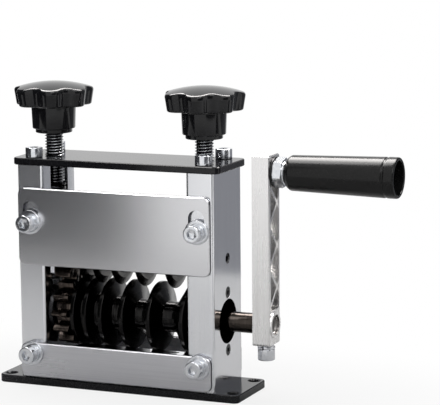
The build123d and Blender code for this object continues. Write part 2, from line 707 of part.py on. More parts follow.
# ---- crank ---------------------------------------------------------------------------------------
def crank_arm():
    """A flat bar with a truss milled into its outer face, bored for shaft and spindle."""
    blank = block(arm_inner_x, arm_outer_x, -arm_width / 2, arm_width / 2, arm_bottom_z, arm_top_z)
    blank = fillet(blank.edges().filter_by(Axis.X), arm_corner_radius)
    blank = chamfer(blank.edges().group_by(Axis.X)[-1], arm_edge)
    half = arm_width / 2 - truss_wall
    floor_x = arm_outer_x - truss_depth
    recess = block(floor_x, arm_outer_x + 1, -half, half, truss_bottom_z, truss_top_z)
    blank -= fillet(recess.edges().filter_by(Axis.X), arm_corner_radius)
    bay = (truss_top_z - truss_bottom_z) / truss_bays
    for k in range(truss_bays):
        y0, y1 = (-half, half) if k % 2 == 0 else (half, -half)
        z0 = truss_bottom_z + k * bay
        angle = math.degrees(math.atan2(bay, y1 - y0))
        rib = Box(truss_depth - truss_rib_low, math.hypot(bay, 2 * half), truss_rib)
        rib = Pos((floor_x + arm_outer_x - truss_rib_low) / 2, 0, z0 + bay / 2) * Rot(angle, 0, 0) * rib
        blank += rib & block(floor_x, arm_outer_x, -half, half, truss_bottom_z, truss_top_z)
    ring = rod_x(bore_ring_radius, arm_outer_x - 1, arm_outer_x + bore_ring_height, 0, lower_axis_z)
    blank += ring
    blank -= rod_x(shaft_radius + press_gap, arm_inner_x - 1, arm_outer_x + 2, 0, lower_axis_z)
    blank -= rod_x(spindle_radius, arm_inner_x - 1, arm_outer_x + 1, 0, grip_axis_z)
    x = (arm_inner_x + arm_outer_x) / 2
    return blank - rod_z(cap_shank_radius, arm_bottom_z - 1, lower_axis_z, x)


def clamp_bolt():
    """The bolt under the arm whose tip bears on the shaft."""
    x = (arm_inner_x + arm_outer_x) / 2
    reach = lower_axis_z - shaft_radius - press_gap - arm_bottom_z
    screw = cap_screw(clamp_head_radius, clamp_head_height, cap_shank_radius, reach, clamp_neck)
    return Pos(x, 0, arm_bottom_z) * Rot(180, 0, 0) * screw


def clamp_washer():
    x = (arm_inner_x + arm_outer_x) / 2
    ring = washer(spring_washer_radius, cap_shank_radius, spring_washer_thickness)
    slit = block(-spring_washer_slit / 2, spring_washer_slit / 2, -spring_washer_radius - 1, 0, -1,
                 spring_washer_thickness + 1)
    return Pos(x, 0, arm_bottom_z - clamp_neck) * (ring - slit)


def arm_washer():
    """The dark washer between the arm and the locknut."""
    ring = washer(arm_washer_radius, spindle_radius, arm_washer_thickness)
    return Pos(arm_outer_x, 0, grip_axis_z) * Rot(0, 90, 0) * ring


def locknut():
    """A hexagonal locknut whose round end holds a nylon ring."""
    nut = hexagon(locknut_flats, locknut_thickness)
    nut = chamfer(nut.edges().group_by(Axis.Z)[0] + nut.edges().group_by(Axis.Z)[-1], edge_softening)
    length = locknut_thickness + locknut_collar_length
    nut += rod_z(locknut_collar_radius, locknut_thickness - 1, length)
    nut -= rod_z(spindle_radius, -1, length + 1)
    return Pos(locknut_x, 0, grip_axis_z) * Rot(0, 90, 0) * nut


def spindle_seat_x():
    """The wall inside the grip that the spindle's head holds."""
    return grip_end - grip_bore_depth


def handle_spindle():
    """A long screw through the grip, threaded into the arm, with its head in the grip's bore."""
    head_x = spindle_seat_x() + body_gap
    shank = rod_x(spindle_radius - screw_gap, arm_inner_x + 1, head_x + 1, 0, grip_axis_z)
    head = chamfer(Cylinder(spindle_head_radius, spindle_head_height).edges(), cap_edge)
    head = Pos(head_x + spindle_head_height / 2, 0, grip_axis_z) * Rot(0, 90, 0) * head
    socket = Pos(head_x + spindle_head_height - cap_socket_depth, 0, grip_axis_z) * Rot(0, 90, 0) * hexagon(
        cap_socket_flats * 1.25, cap_socket_depth + 1)
    return shank + head - socket


def grip():
    """A tapered moulded sleeve that turns on the spindle, open at its outer end."""
    bore = spindle_radius + running_gap
    groove = grip_end - ring_groove_from_end
    slope = (grip_outer_radius - grip_inner_radius) / grip_length

    def skin(x):
        return grip_inner_radius + slope * (x - grip_start)

    low = ring_groove_depth
    points = [(grip_start, bore), (grip_start, skin(grip_start) - grip_shoulder),
              (grip_start + 0.35 * grip_shoulder, skin(grip_start) - 0.45 * grip_shoulder),
              (grip_start + grip_shoulder, skin(grip_start + grip_shoulder)),
              (groove - ring_groove_width, skin(groove - ring_groove_width)),
              (groove - ring_groove_width, skin(groove) - low), (groove, skin(groove) - low),
              (groove, skin(groove)), (grip_end - edge_softening, skin(grip_end)),
              (grip_end, skin(grip_end) - edge_softening), (grip_end, grip_bore_radius),
              (spindle_seat_x(), grip_bore_radius), (spindle_seat_x(), bore)]
    return turned_x(points, grip_axis_z)


# ---- the whole machine --------------------------------------------------------------------------
pieces = {
    "base_plate": base_plate(),
    "base_screws": base_screws(),
    "left_post": post(-1),
    "right_post": post(1),
    "top_plate": top_plate(),
    "top_plate_screws": top_plate_screws(),
    "lower_front_plate": lower_front_plate(),
    "lower_plate_screws": front_screw(lower_screw_z),
    "lower_back_plate": lower_back_plate(),
    "back_plate_screws": back_plate_screws(),
    "cover_screws": front_screw(cover_screw_z),
    "flat_washers": flat_washers(),
    "spring_washers": spring_washers(),
    "feed_table": feed_table(),
    "cover_plate": cover_plate(),
    "bearing_outer_races": bearing_outer_races(),
    "bearing_inner_races": bearing_inner_races(),
    "bearing_balls": bearing_balls(),
    "retainer_screws": retainer_screws(),
    "side_screws": side_screws(),
    "left_slide_block": slide_block(-1),
    "right_slide_block": slide_block(1),
    "block_bushes": block_bushes(),
    "spring_seats": spring_seats(),
    "pressure_springs": pressure_springs(),
    "return_springs": return_springs(),
    "upper_shaft": upper_shaft(),
    "upper_gear": gear(upper_axis_z, upper_phase()),
    "upper_gear_key": keyway(upper_axis_z, 0),
    "blade_spacers": blade_spacers(),
    "upper_circlips": circlips(upper_stack_right, upper_axis_z),
    "lower_shaft": lower_shaft(),
    "lower_gear": gear(lower_axis_z, gear_phase),
    "lower_gear_key": keyway(lower_axis_z, 0),
    "gear_spacer": gear_spacer(),
    "lower_circlips": circlips(stack_right, lower_axis_z),
    "crank_arm": crank_arm(),
    "clamp_bolt": clamp_bolt(),
    "clamp_washer": clamp_washer(),
    "handle_washer": arm_washer(),
    "handle_locknut": locknut(),
    "handle_spindle": handle_spindle(),
    "grip": grip(),
    "left_knob_stud": knob_stud(-1),
    "left_knob_head": knob_head(-1, left_knob_phase),
    "right_knob_stud": knob_stud(1),
    "right_knob_head": knob_head(1, right_knob_phase),
}
for number in range(len(rim_positions)):
    pieces[f"feed_disc_{number + 1}"] = feed_disc(number)
for number in range(len(blade_positions)):
    pieces[f"blade_{number + 1}"] = blade(number)

os.makedirs("parts", exist_ok=True)
for name, shape in pieces.items():
    solids = shape if isinstance(shape, list) else [shape]
    solid = Compound(children=solids) if len(solids) > 1 else solids[0]
    export_step(solid, f"parts/{name}.step")
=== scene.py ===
import math

import bmesh
import bpy
import numpy as np
from mathutils import Matrix, Vector


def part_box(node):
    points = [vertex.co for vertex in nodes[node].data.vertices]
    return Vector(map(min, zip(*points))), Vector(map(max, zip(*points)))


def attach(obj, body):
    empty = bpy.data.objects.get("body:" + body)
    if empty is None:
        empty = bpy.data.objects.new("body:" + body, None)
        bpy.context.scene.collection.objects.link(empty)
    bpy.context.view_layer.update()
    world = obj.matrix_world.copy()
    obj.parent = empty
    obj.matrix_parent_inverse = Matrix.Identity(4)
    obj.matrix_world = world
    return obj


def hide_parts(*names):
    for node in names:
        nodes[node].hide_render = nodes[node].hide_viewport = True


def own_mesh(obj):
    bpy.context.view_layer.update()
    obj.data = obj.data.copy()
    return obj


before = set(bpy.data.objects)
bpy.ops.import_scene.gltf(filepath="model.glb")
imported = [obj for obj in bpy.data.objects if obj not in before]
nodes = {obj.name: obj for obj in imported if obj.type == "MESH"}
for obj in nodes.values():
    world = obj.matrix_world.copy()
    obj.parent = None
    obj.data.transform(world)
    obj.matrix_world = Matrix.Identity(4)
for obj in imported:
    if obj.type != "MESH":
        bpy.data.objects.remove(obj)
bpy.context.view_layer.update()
mm = 0.001


# ---- Camera and studio -------------------------------------------------------------------
# A long lens to the right of the front and a little above, over a white sweep. Large soft
# lamps light the machine, and cards that only mirrors see give polished metal its greys.

camera_turn, camera_rise, camera_roll = (math.radians(k) for k in (24.469, 9.818, -0.761))
camera_distance, camera_aim = 1.07519, Vector((0.012786, 0.0, 0.075147))
frame_width, frame_height = 440, 405
focal_pixels = 2180.1
axis_pixel = (153.05, 237.99)                 # where the lens axis meets the picture

right = Vector((math.cos(camera_turn), math.sin(camera_turn), 0))
back = Vector((math.sin(camera_turn) * math.cos(camera_rise),
               -math.cos(camera_turn) * math.cos(camera_rise), math.sin(camera_rise)))
up = back.cross(right)
tilted_right = right * math.cos(camera_roll) + up * math.sin(camera_roll)
tilted_up = up * math.cos(camera_roll) - right * math.sin(camera_roll)
camera = bpy.data.objects.new("camera", bpy.data.cameras.new("camera"))
bpy.context.scene.collection.objects.link(camera)
turn = Matrix((tilted_right, tilted_up, back)).transposed().to_4x4()
camera.matrix_world = Matrix.Translation(camera_aim + back * camera_distance) @ turn
camera.data.sensor_width = 36.0
camera.data.lens = focal_pixels / frame_width * camera.data.sensor_width
camera.data.shift_x = (frame_width / 2 - axis_pixel[0]) / frame_width
camera.data.shift_y = (axis_pixel[1] - frame_height / 2) / frame_width
camera.data.clip_start, camera.data.clip_end = 0.05, 20.0
bpy.context.scene.camera = camera
bpy.context.scene.view_settings.view_transform = "Standard"


def makers(tree):
    """Two short makers for a node tree: one adds a node, the other joins two sockets."""
    def add(kind, **values):
        node = tree.nodes.new("ShaderNode" + kind)
        for key, value in values.items():
            setattr(node, key, value)
        return node

    def join(source, target):
        tree.links.new(source, target)

    return add, join


def empty_tree(owner):
    """Switches an owner to nodes, empties its tree and returns the tree's makers."""
    owner.use_nodes = True
    owner.node_tree.nodes.clear()
    return makers(owner.node_tree)


def seen_directly(add, join):
    """1 for rays of the camera, of mirrors and of glass, 0 for those that carry light."""
    path = add("LightPath")
    first = add("Math", operation="MAXIMUM")
    second = add("Math", operation="MAXIMUM")
    join(path.outputs["Is Camera Ray"], first.inputs[0])
    join(path.outputs["Is Glossy Ray"], first.inputs[1])
    join(first.outputs[0], second.inputs[0])
    join(path.outputs["Is Transmission Ray"], second.inputs[1])
    return second.outputs[0]


world = bpy.data.worlds.new("studio")
bpy.context.scene.world = world
add, join = empty_tree(world)
sky_light = add("Background")
sky_light.inputs["Color"].default_value = (0.96, 0.98, 1.0, 1)
sky_light.inputs["Strength"].default_value = 0.55
sky_seen = add("Background")
sky_seen.inputs["Color"].default_value = (1, 1, 1, 1)
sky_seen.inputs["Strength"].default_value = 1.0
choice, out = add("MixShader"), add("OutputWorld")
join(seen_directly(add, join), choice.inputs[0])
join(sky_light.outputs[0], choice.inputs[1])
join(sky_seen.outputs[0], choice.inputs[2])
join(choice.outputs[0], out.inputs["Surface"])


def flat(name, corners):
    """A stage piece of one flat face."""
    mesh = bpy.data.meshes.new(name)
    mesh.from_pydata([tuple(c) for c in corners], [], [(0, 1, 2, 3)])
    piece = bpy.data.objects.new(name, mesh)
    bpy.context.scene.collection.objects.link(piece)
    mesh.materials.append(bpy.data.materials.new(name))
    return piece


def white_floor(half_width, colour, least_white, foot, mirrored):
    """A matt floor that takes the machine's shadow and turns into the white of the background.
    The camera sees least_white of white in the middle and turns to all white between the two
    distances foot, with x counted half, so that the patch is as long as the machine. Mirrors
    see the matt floor in the middle, and it turns white between the distances mirrored."""
    w = half_width
    floor = flat("floor", [(-w, -w, 0), (w, -w, 0), (w, w, 0), (-w, w, 0)])
    add, join = empty_tree(floor.data.materials[0])
    matt, glow = add("BsdfDiffuse"), add("Emission")
    matt.inputs["Color"].default_value = (colour, colour, colour, 1)
    glow.inputs["Color"].default_value = (1, 1, 1, 1)
    glow.inputs["Strength"].default_value = 1.0
    place, path, direct = add("TexCoord"), add("LightPath"), add("Math", operation="MAXIMUM")
    join(path.outputs["Is Camera Ray"], direct.inputs[0])
    join(path.outputs["Is Transmission Ray"], direct.inputs[1])
    white = add("Math", operation="ADD")
    for k, (squeeze, (near, far), least, ray) in enumerate((
            ((0.5, 1, 1), foot, least_white, direct.outputs[0]),
            ((1, 1, 1), mirrored, 0.0, path.outputs["Is Glossy Ray"]))):
        scaled = add("VectorMath", operation="MULTIPLY")
        length = add("VectorMath", operation="LENGTH")
        scaled.inputs[1].default_value = squeeze
        fade = add("MapRange", interpolation_type="SMOOTHSTEP")
        fade.inputs["From Min"].default_value, fade.inputs["From Max"].default_value = near, far
        fade.inputs["To Min"].default_value = least
        share = add("Math", operation="MULTIPLY")
        join(place.outputs["Object"], scaled.inputs[0])
        join(scaled.outputs[0], length.inputs[0])
        join(length.outputs["Value"], fade.inputs["Value"])
        join(fade.outputs[0], share.inputs[0])
        join(ray, share.inputs[1])
        join(share.outputs[0], white.inputs[k])
    mix, out = add("MixShader"), add("OutputMaterial")
    join(white.outputs[0], mix.inputs[0])
    join(matt.outputs[0], mix.inputs[1])
    join(glow.outputs[0], mix.inputs[2])
    join(mix.outputs[0], out.inputs["Surface"])


def mirror_card(name, corners, strength, colour=(1, 1.02, 1.1)):
    """A card outside the picture that only mirrors see: clear to every ray but a glossy one."""
    add, join = empty_tree(flat(name, corners).data.materials[0])
    glow, clear, path = add("Emission"), add("BsdfTransparent"), add("LightPath")
    mix, out = add("MixShader"), add("OutputMaterial")
    glow.inputs["Color"].default_value = (*colour, 1)
    glow.inputs["Strength"].default_value = strength
    join(path.outputs["Is Glossy Ray"], mix.inputs[0])
    join(clear.outputs[0], mix.inputs[1])
    join(glow.outputs[0], mix.inputs[2])
    join(mix.outputs[0], out.inputs["Surface"])


def upright_card(name, foot, heading, width, height, shade):
    """A grey card that stands on the floor; heading is the way along its foot from +X."""
    x, y = foot
    end_x = x + width * math.cos(math.radians(heading))
    end_y = y + width * math.sin(math.radians(heading))
    mirror_card(name, [(x, y, 0), (end_x, end_y, 0), (end_x, end_y, height), (x, y, height)], shade)


white_floor(6.0, 0.31, 0.84, (0.03, 0.13), (0.31, 0.48))
upright_card("front_left_card", (-0.60, -0.318), 0, 0.48, 0.5, 0.05)
upright_card("far_left_card", (-0.40, -0.25), 75, 0.5, 0.5, 0.03)
upright_card("front_right_card", (0.31, -0.42), 50, 0.45, 0.34, 0.10)
upright_card("back_right_card", (0.10, 0.30), -8, 0.5, 0.5, 0.24)
mirror_card("overhead_card", [(-0.95, 0.15, 1.0), (0.55, 0.15, 1.0),
                              (0.55, 0.62, 0.86), (-0.95, 0.62, 0.86)], 19.0, (1.0, 0.97, 0.95))


def soft_lamp(name, place, size, power, colour=(1, 1, 1)):
    """A rectangular lamp that points at the middle of the machine."""
    lamp = bpy.data.lights.new(name, "AREA")
    lamp.shape, lamp.size, lamp.size_y = "RECTANGLE", size[0], size[1]
    lamp.energy, lamp.color = power, colour
    holder = bpy.data.objects.new(name, lamp)
    bpy.context.scene.collection.objects.link(holder)
    aim = Vector((0.02, 0, 0.08)) - Vector(place)
    facing = aim.to_track_quat("-Z", "Y").to_matrix().to_4x4()
    holder.matrix_world = Matrix.Translation(place) @ facing


soft_lamp("key_lamp", (0.9, -0.9, 1.3), (0.9, 0.9), 8)
soft_lamp("fill_lamp", (-1.3, -0.5, 0.8), (0.8, 1.0), 4, (0.93, 0.96, 1.0))
soft_lamp("top_lamp", (-0.22, 0.30, 1.25), (1.2, 0.7), 24, (1.0, 0.985, 0.97))


# ---- Black base plate and top plate ------------------------------------------------------
# Steel plates with a glossy black powder coat, drilled at the corners. The base carries the
# two posts; the top plate ties them and takes the thrust of the knob screws.

def material_of(name, colour, metallic, roughness, **constants):
    """A Principled material; constants are sockets that stay the same all over."""
    material = bpy.data.materials.new(name)
    add, join = empty_tree(material)
    shader, out = add("BsdfPrincipled"), add("OutputMaterial")
    shader.inputs["Base Color"].default_value = (*colour, 1)
    shader.inputs["Metallic"].default_value = metallic
    shader.inputs["Roughness"].default_value = roughness
    for socket, value in constants.items():
        shader.inputs[socket.replace("_", " ")].default_value = value
    join(shader.outputs[0], out.inputs["Surface"])
    return material


def shader_of(material):
    """The Principled shader of a material."""
    return next(n for n in material.node_tree.nodes if n.type == "BSDF_PRINCIPLED")


def new_group(name, inputs, outputs):
    """An empty shader group with float or vector sockets, its two end nodes and its makers."""
    group = bpy.data.node_groups.new(name, "ShaderNodeTree")
    for socket, kind, value in inputs:
        made = group.interface.new_socket(socket, in_out="INPUT", socket_type="NodeSocket" + kind)
        made.default_value = value
    for socket in outputs:
        group.interface.new_socket(socket, in_out="OUTPUT", socket_type="NodeSocketFloat")
    ends = group.nodes.new("NodeGroupInput"), group.nodes.new("NodeGroupOutput")
    return group, *ends, *makers(group)


def grain_group():
    """Noise stretched by a scale along each axis, plus cloudy handling marks: Height is the
    noise, Roughness is base + spread * (noise + marks - 1)."""
    group, start, end, add, join = new_group("grain", [
        ("Scale", "Vector", (1, 1, 1)), ("Marks Scale", "Float", 40.0),
        ("Base", "Float", 0.3), ("Spread", "Float", 0.1)], ["Height", "Roughness"])
    place, stretch = add("TexCoord"), add("VectorMath", operation="MULTIPLY")
    fine, marks = add("TexNoise"), add("TexNoise")
    fine.inputs["Scale"].default_value, fine.inputs["Detail"].default_value = 1.0, 3.0
    marks.inputs["Detail"].default_value = 4.0
    both, centred = add("Math", operation="ADD"), add("Math", operation="SUBTRACT")
    spread = add("Math", operation="MULTIPLY_ADD")
    centred.inputs[1].default_value = 1.0
    join(place.outputs["Object"], stretch.inputs[0])
    join(start.outputs["Scale"], stretch.inputs[1])
    join(stretch.outputs[0], fine.inputs["Vector"])
    join(place.outputs["Object"], marks.inputs["Vector"])
    join(start.outputs["Marks Scale"], marks.inputs["Scale"])
    join(fine.outputs["Fac"], both.inputs[0])
    join(marks.outputs["Fac"], both.inputs[1])
    join(both.outputs[0], centred.inputs[0])
    join(centred.outputs[0], spread.inputs[0])
    join(start.outputs["Spread"], spread.inputs[1])
    join(start.outputs["Base"], spread.inputs[2])
    join(fine.outputs["Fac"], end.inputs["Height"])
    join(spread.outputs[0], end.inputs["Roughness"])
    return group


grain = grain_group()


def add_grain(material, scale, base, spread, bump, marks_scale, tones):
    """Puts the grain group into a material: roughness, a fine bump, and two tones of colour."""
    add, join = makers(material.node_tree)
    shader, node = shader_of(material), add("Group", node_tree=grain)
    node.inputs["Scale"].default_value = scale
    node.inputs["Marks Scale"].default_value = marks_scale
    node.inputs["Base"].default_value, node.inputs["Spread"].default_value = base, spread
    join(node.outputs["Roughness"], shader.inputs["Roughness"])
    relief = add("Bump")
    relief.inputs["Strength"].default_value = bump
    relief.inputs["Distance"].default_value = 0.05 * mm
    join(node.outputs["Height"], relief.inputs["Height"])
    join(relief.outputs[0], shader.inputs["Normal"])
    ramp = add("ValToRGB")
    for stop, position, tone in zip(ramp.color_ramp.elements, (0.3, 0.7), tones):
        stop.position, stop.color = position, (*tone, 1)
    join(node.outputs["Height"], ramp.inputs["Fac"])
    join(ramp.outputs[0], shader.inputs["Base Color"])


def dress(material, *names):
    """Gives CAD nodes, kept as they are, their material."""
    for name in names:
        mesh = nodes[name].data
        mesh.materials.clear()
        mesh.materials.append(material)


black_coat = material_of("black coat", (0.008, 0.008, 0.009), 0.0, 0.14, Specular_IOR_Level=0.3)
add_grain(black_coat, (900, 900, 900), 0.12, 0.08, 0.15, 25.0,
          ((0.006, 0.006, 0.007), (0.011, 0.011, 0.013)))
dress(black_coat, "base_plate", "top_plate")


# ---- Posts, sliding blocks and front plates ----------------------------------------------
# Aluminium bar with a fine grain lengthways, upright in the posts and blocks, and satin sheet.
# The cover plate slides on its two slots; the plates below it, front and back, are fixed.

def facing_group():
    """Mask is 1 where |normal . axis| is above High, and 0 where it is below Low."""
    group, start, end, add, join = new_group("facing", [
        ("Axis", "Vector", (1, 0, 0)), ("Low", "Float", 0.3), ("High", "Float", 0.5)], ["Mask"])
    place, along = add("TexCoord"), add("VectorMath", operation="DOT_PRODUCT")
    size, mask = add("Math", operation="ABSOLUTE"), add("MapRange")
    join(place.outputs["Normal"], along.inputs[0])
    join(start.outputs["Axis"], along.inputs[1])
    join(along.outputs["Value"], size.inputs[0])
    join(size.outputs[0], mask.inputs["Value"])
    join(start.outputs["Low"], mask.inputs["From Min"])
    join(start.outputs["High"], mask.inputs["From Max"])
    join(mask.outputs[0], end.inputs["Mask"])
    return group


facing = facing_group()


def faces_along(material, axis, low, high):
    """A mask of the faces that look along an axis."""
    add, join = makers(material.node_tree)
    node = add("Group", node_tree=facing)
    node.inputs["Axis"].default_value = axis
    node.inputs["Low"].default_value, node.inputs["High"].default_value = low, high
    return node.outputs["Mask"]


def smooth_where(mask, material, least):
    """Makes the roughness least times as much where the mask is 1."""
    add, join = makers(material.node_tree)
    shader, share, product = shader_of(material), add("MapRange"), add("Math", operation="MULTIPLY")
    share.inputs["To Min"].default_value, share.inputs["To Max"].default_value = 1.0, least
    source = shader.inputs["Roughness"].links[0].from_socket
    join(mask, share.inputs["Value"])
    join(share.outputs[0], product.inputs[0])
    join(source, product.inputs[1])
    join(product.outputs[0], shader.inputs["Roughness"])


def tint_except(mask, material, colour):
    """Takes a colour in place of the material's own where the mask is 0."""
    add, join = makers(material.node_tree)
    shader, mix = shader_of(material), add("Mix", data_type="RGBA")
    mix.inputs["A"].default_value = (*colour, 1)
    source = shader.inputs["Base Color"].links[0].from_socket
    join(mask, mix.inputs["Factor"])
    join(source, mix.inputs["B"])
    join(mix.outputs["Result"], shader.inputs["Base Color"])


def outside_bore(material, height, radius):
    """A mask that is 0 inside a bore along X at a height, and 1 outside it."""
    add, join = makers(material.node_tree)
    place, shifted = add("TexCoord"), add("VectorMath", operation="ADD")
    flattened = add("VectorMath", operation="MULTIPLY")
    length = add("VectorMath", operation="LENGTH")
    mask = add("Math", operation="GREATER_THAN")
    shifted.inputs[1].default_value = (0, 0, -height)
    flattened.inputs[1].default_value = (0, 1, 1)
    mask.inputs[1].default_value = radius
    join(place.outputs["Object"], shifted.inputs[0])
    join(shifted.outputs[0], flattened.inputs[0])
    join(flattened.outputs[0], length.inputs[0])
    join(length.outputs["Value"], mask.inputs[0])
    return mask.outputs[0]


lower_z, upper_z = 36.3 * mm, 67.4 * mm           # heights of the crank shaft and the blade shaft
bearing_bore = 11.0 * mm
bar_aluminium = material_of("bar aluminium", (0.85, 0.86, 0.88), 1.0, 0.24)
add_grain(bar_aluminium, (1500, 1500, 18), 0.23, 0.08, 0.1, 30.0,
          ((0.82, 0.83, 0.86), (0.88, 0.885, 0.905)))
smooth_where(faces_along(bar_aluminium, (1, 0, 0), 0.6, 0.95), bar_aluminium, 0.55)
# Painted shade: inside the bearing bores the aluminium is coloured nearly black, standing in for
# the shade that falls in them.
bore_shade_mask = outside_bore(bar_aluminium, lower_z, bearing_bore + 0.03 * mm)
tint_except(bore_shade_mask, bar_aluminium, (0.03, 0.028, 0.027))
dress(bar_aluminium, "left_post", "right_post", "left_slide_block", "right_slide_block")

sheet_aluminium = material_of("sheet aluminium", (0.83, 0.83, 0.85), 1.0, 0.22,
                               Specular_Tint=(0.4, 0.4, 0.41, 1))
add_grain(sheet_aluminium, (14, 1500, 1800), 0.21, 0.03, 0.02, 22.0,
          ((0.75, 0.75, 0.77), (0.775, 0.775, 0.792)))
# Painted shade: the faces that do not look along Y, the plate's edges and slot walls, are coloured
# nearly black to stand in for the shade in the gaps around them.
tint_except(faces_along(sheet_aluminium, (0, 1, 0), 0.3, 0.5), sheet_aluminium, (0.09, 0.09, 0.10))
dress(sheet_aluminium, "cover_plate", "lower_back_plate")

# A rougher copy of the sheet aluminium for the lower front plate. Its darker colour and tones are
# painted shade, standing in for the dim floor that the plate mirrors.
dull_shaded_sheet = material_of("dull shaded sheet", (0.62, 0.62, 0.65), 1.0, 0.3,
                         Specular_Tint=(0.5, 0.5, 0.51, 1))
add_grain(dull_shaded_sheet, (14, 1500, 1800), 0.29, 0.08, 0.07, 22.0,
          ((0.59, 0.59, 0.62), (0.65, 0.65, 0.675)))
# Painted shade: the plate's edges, the faces that do not look along Y, are coloured nearly black to
# stand in for the shade in the gaps around them.
tint_except(faces_along(dull_shaded_sheet, (0, 1, 0), 0.3, 0.5), dull_shaded_sheet, (0.08, 0.08, 0.09))
dress(dull_shaded_sheet, "lower_front_plate")


# ---- Cap screws and washers --------------------------------------------------------------
# Bright plated M5 screws with hexagon sockets: four in the top plate, four on the front over
# a split washer and a flat washer, and one under the crank arm.

def soften(points, size, steps=4):
    """Rounds the inner corners of an open outline: each corner P becomes the curve
    (1-t)^2 A + 2t(1-t) P + t^2 B, with A and B up to size away along its two sides."""
    points = np.asarray(points, float)
    before, corner, after = points[:-2], points[1:-1], points[2:]

    def towards(end):
        gap = end - corner
        length = np.linalg.norm(gap, axis=1, keepdims=True)
        return corner + gap / length * np.minimum(size, 0.45 * length)

    t = np.linspace(0, 1, steps)[None, :, None]
    a, b, p = towards(before)[:, None], towards(after)[:, None], corner[:, None]
    curve = (1 - t) ** 2 * a + 2 * t * (1 - t) * p + t ** 2 * b
    return np.vstack([points[:1], curve.reshape(-1, 2), points[-1:]])


AXES = {"+X": ((0, 1, 0), (0, 0, 1), (1, 0, 0)), "-Y": ((1, 0, 0), (0, 0, 1), (0, -1, 0)),
        "+Z": ((1, 0, 0), (0, 1, 0), (0, 0, 1)), "-Z": ((1, 0, 0), (0, -1, 0), (0, 0, -1))}


def shell(name, grids, sharp=35.0):
    """A smooth mesh over grids of points [row, step, xyz] whose rows close on themselves.
    Doubled points, as at the poles, are merged, and faces point outwards."""
    points, faces, first = [], [], 0
    for grid in grids:
        rows, steps = grid.shape[:2]
        index = np.arange(rows * steps).reshape(rows, steps) + first
        a, b = index[:-1], index[1:]
        faces.append(np.stack([a, np.roll(a, -1, 1), np.roll(b, -1, 1), b], -1).reshape(-1, 4))
        points.append(grid.reshape(-1, 3))
        first += rows * steps
    mesh = bpy.data.meshes.new(name)
    mesh.from_pydata(np.vstack(points).tolist(), [], np.vstack(faces).tolist())
    shape = bmesh.new()
    shape.from_mesh(mesh)
    bmesh.ops.remove_doubles(shape, verts=shape.verts, dist=0.002 * mm)
    bmesh.ops.recalc_face_normals(shape, faces=shape.faces)
    shape.to_mesh(mesh)
    shape.free()
    mesh.shade_smooth()
    mesh.set_sharp_from_angle(angle=math.radians(sharp))
    piece = bpy.data.objects.new(name, mesh)
    bpy.context.scene.collection.objects.link(piece)
    return piece


def hexagon_reach(angle):
    """Distance from the middle of a hexagon to its side at each angle, for flats at 1."""
    return 1 / np.cos((angle % (math.pi / 3)) - math.pi / 6)


def around(profile, axis, centre, flats=None, steps=72, start=0.0):
    """A grid turned about an axis. profile is (radius, distance along the axis) in mm; where
    flats is given, a row's radius is the smaller of its circle and its hexagon."""
    profile = np.asarray(profile, float)
    angle = start + np.linspace(0, 2 * math.pi, steps, endpoint=False)
    radius = np.repeat(profile[:, :1], steps, axis=1)
    if flats is not None:
        reach = np.asarray(flats, float)[:, None] * hexagon_reach(angle - start)
        radius = np.minimum(radius, reach)
    u, v, w = (np.array(k, float) for k in AXES[axis])
    across = radius[..., None] * (np.cos(angle)[:, None] * u + np.sin(angle)[:, None] * v)
    return (np.array(centre) + (across + profile[:, 1][:, None, None] * w) * mm)


def finish_piece(piece, material, body, slot, *replaced):
    """Gives a new piece its material and body, and hides the nodes that it replaces; slot is not
    used.
    """
    piece.data.materials.append(material)
    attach(piece, body)
    if replaced:
        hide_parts(*replaced)
    return piece


def cap_screw(axis, centre, head_radius=4.25, top=5.0, shank=2.45, reach=10.0, turn=0.0):
    """A grid of a socket cap screw whose head stands on the centre and looks along the axis.
    top is the height of the head, and the socket is a hexagon with flats at a radius of 2."""
    flats = 2.0
    body = soften([(0, -reach), (shank, -reach), (shank, 0), (head_radius, 0), (head_radius, top),
                   (flats * 1.25, top)], 0.45, 5)
    count = len(body)
    socket = [(flats * 1.16, top - 0.05), (flats * 1.155, top - 0.35),
              (flats * 1.155, top - 2.6), (0, top - 3.0)]
    limits = [99.0] * count + [flats * 1.06, flats, flats, 99.0]
    return around(np.vstack([body, socket]), axis, centre, limits, 72, turn)


plated = material_of("bright plate", (0.74, 0.76, 0.79), 1.0, 0.16)
add_grain(plated, (600, 600, 600), 0.17, 0.12, 0.2, 120.0,
          ((0.66, 0.68, 0.72), (0.80, 0.81, 0.83)))

low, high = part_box("top_plate_screws")
cap_radius, cap_height = 4.25, 5.0
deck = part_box("top_plate")[1].z
top_x, top_y = high.x - cap_radius * mm, high.y - cap_radius * mm
top_places = [(x, y, deck) for x in (-top_x, top_x) for y in (-top_y, top_y)]
top_screws = shell("top_plate_cap_screws", [
    cap_screw("+Z", place, turn=0.4 * k) for k, place in enumerate(top_places)])
finish_piece(top_screws, plated, "frame", "screw_steel", "top_plate_screws")

screw_rows = {"cover_screws": 83.0 * mm, "lower_plate_screws": 16.7 * mm}
for node, height in screw_rows.items():
    low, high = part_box(node)
    x, y = high.x - cap_radius * mm, low.y + cap_height * mm
    heads = shell(node.replace("screws", "cap_screws"), [
        cap_screw("-Y", (side * x, y, height), turn=0.3 + 0.5 * side) for side in (-1, 1)])
    finish_piece(heads, plated, "frame", "screw_steel", node)

front_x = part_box("cover_screws")[1].x - cap_radius * mm
washer_places = [(side * front_x, z) for z in screw_rows.values() for side in (-1, 1)]
washer_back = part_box("flat_washers")[1].y
washer_bore, washer_radius, washer_thickness = 2.6, 6.0, 1.2
flat_ring = soften([(washer_bore, 0), (washer_radius, 0), (washer_radius, washer_thickness),
                    (washer_bore, washer_thickness), (washer_bore, 0)], 0.25)
flat_rings = shell("flat_washer_rings", [
    around(flat_ring, "-Y", (x, washer_back, z)) for x, z in washer_places])
finish_piece(flat_rings, plated, "frame", "screw_steel", "flat_washers")


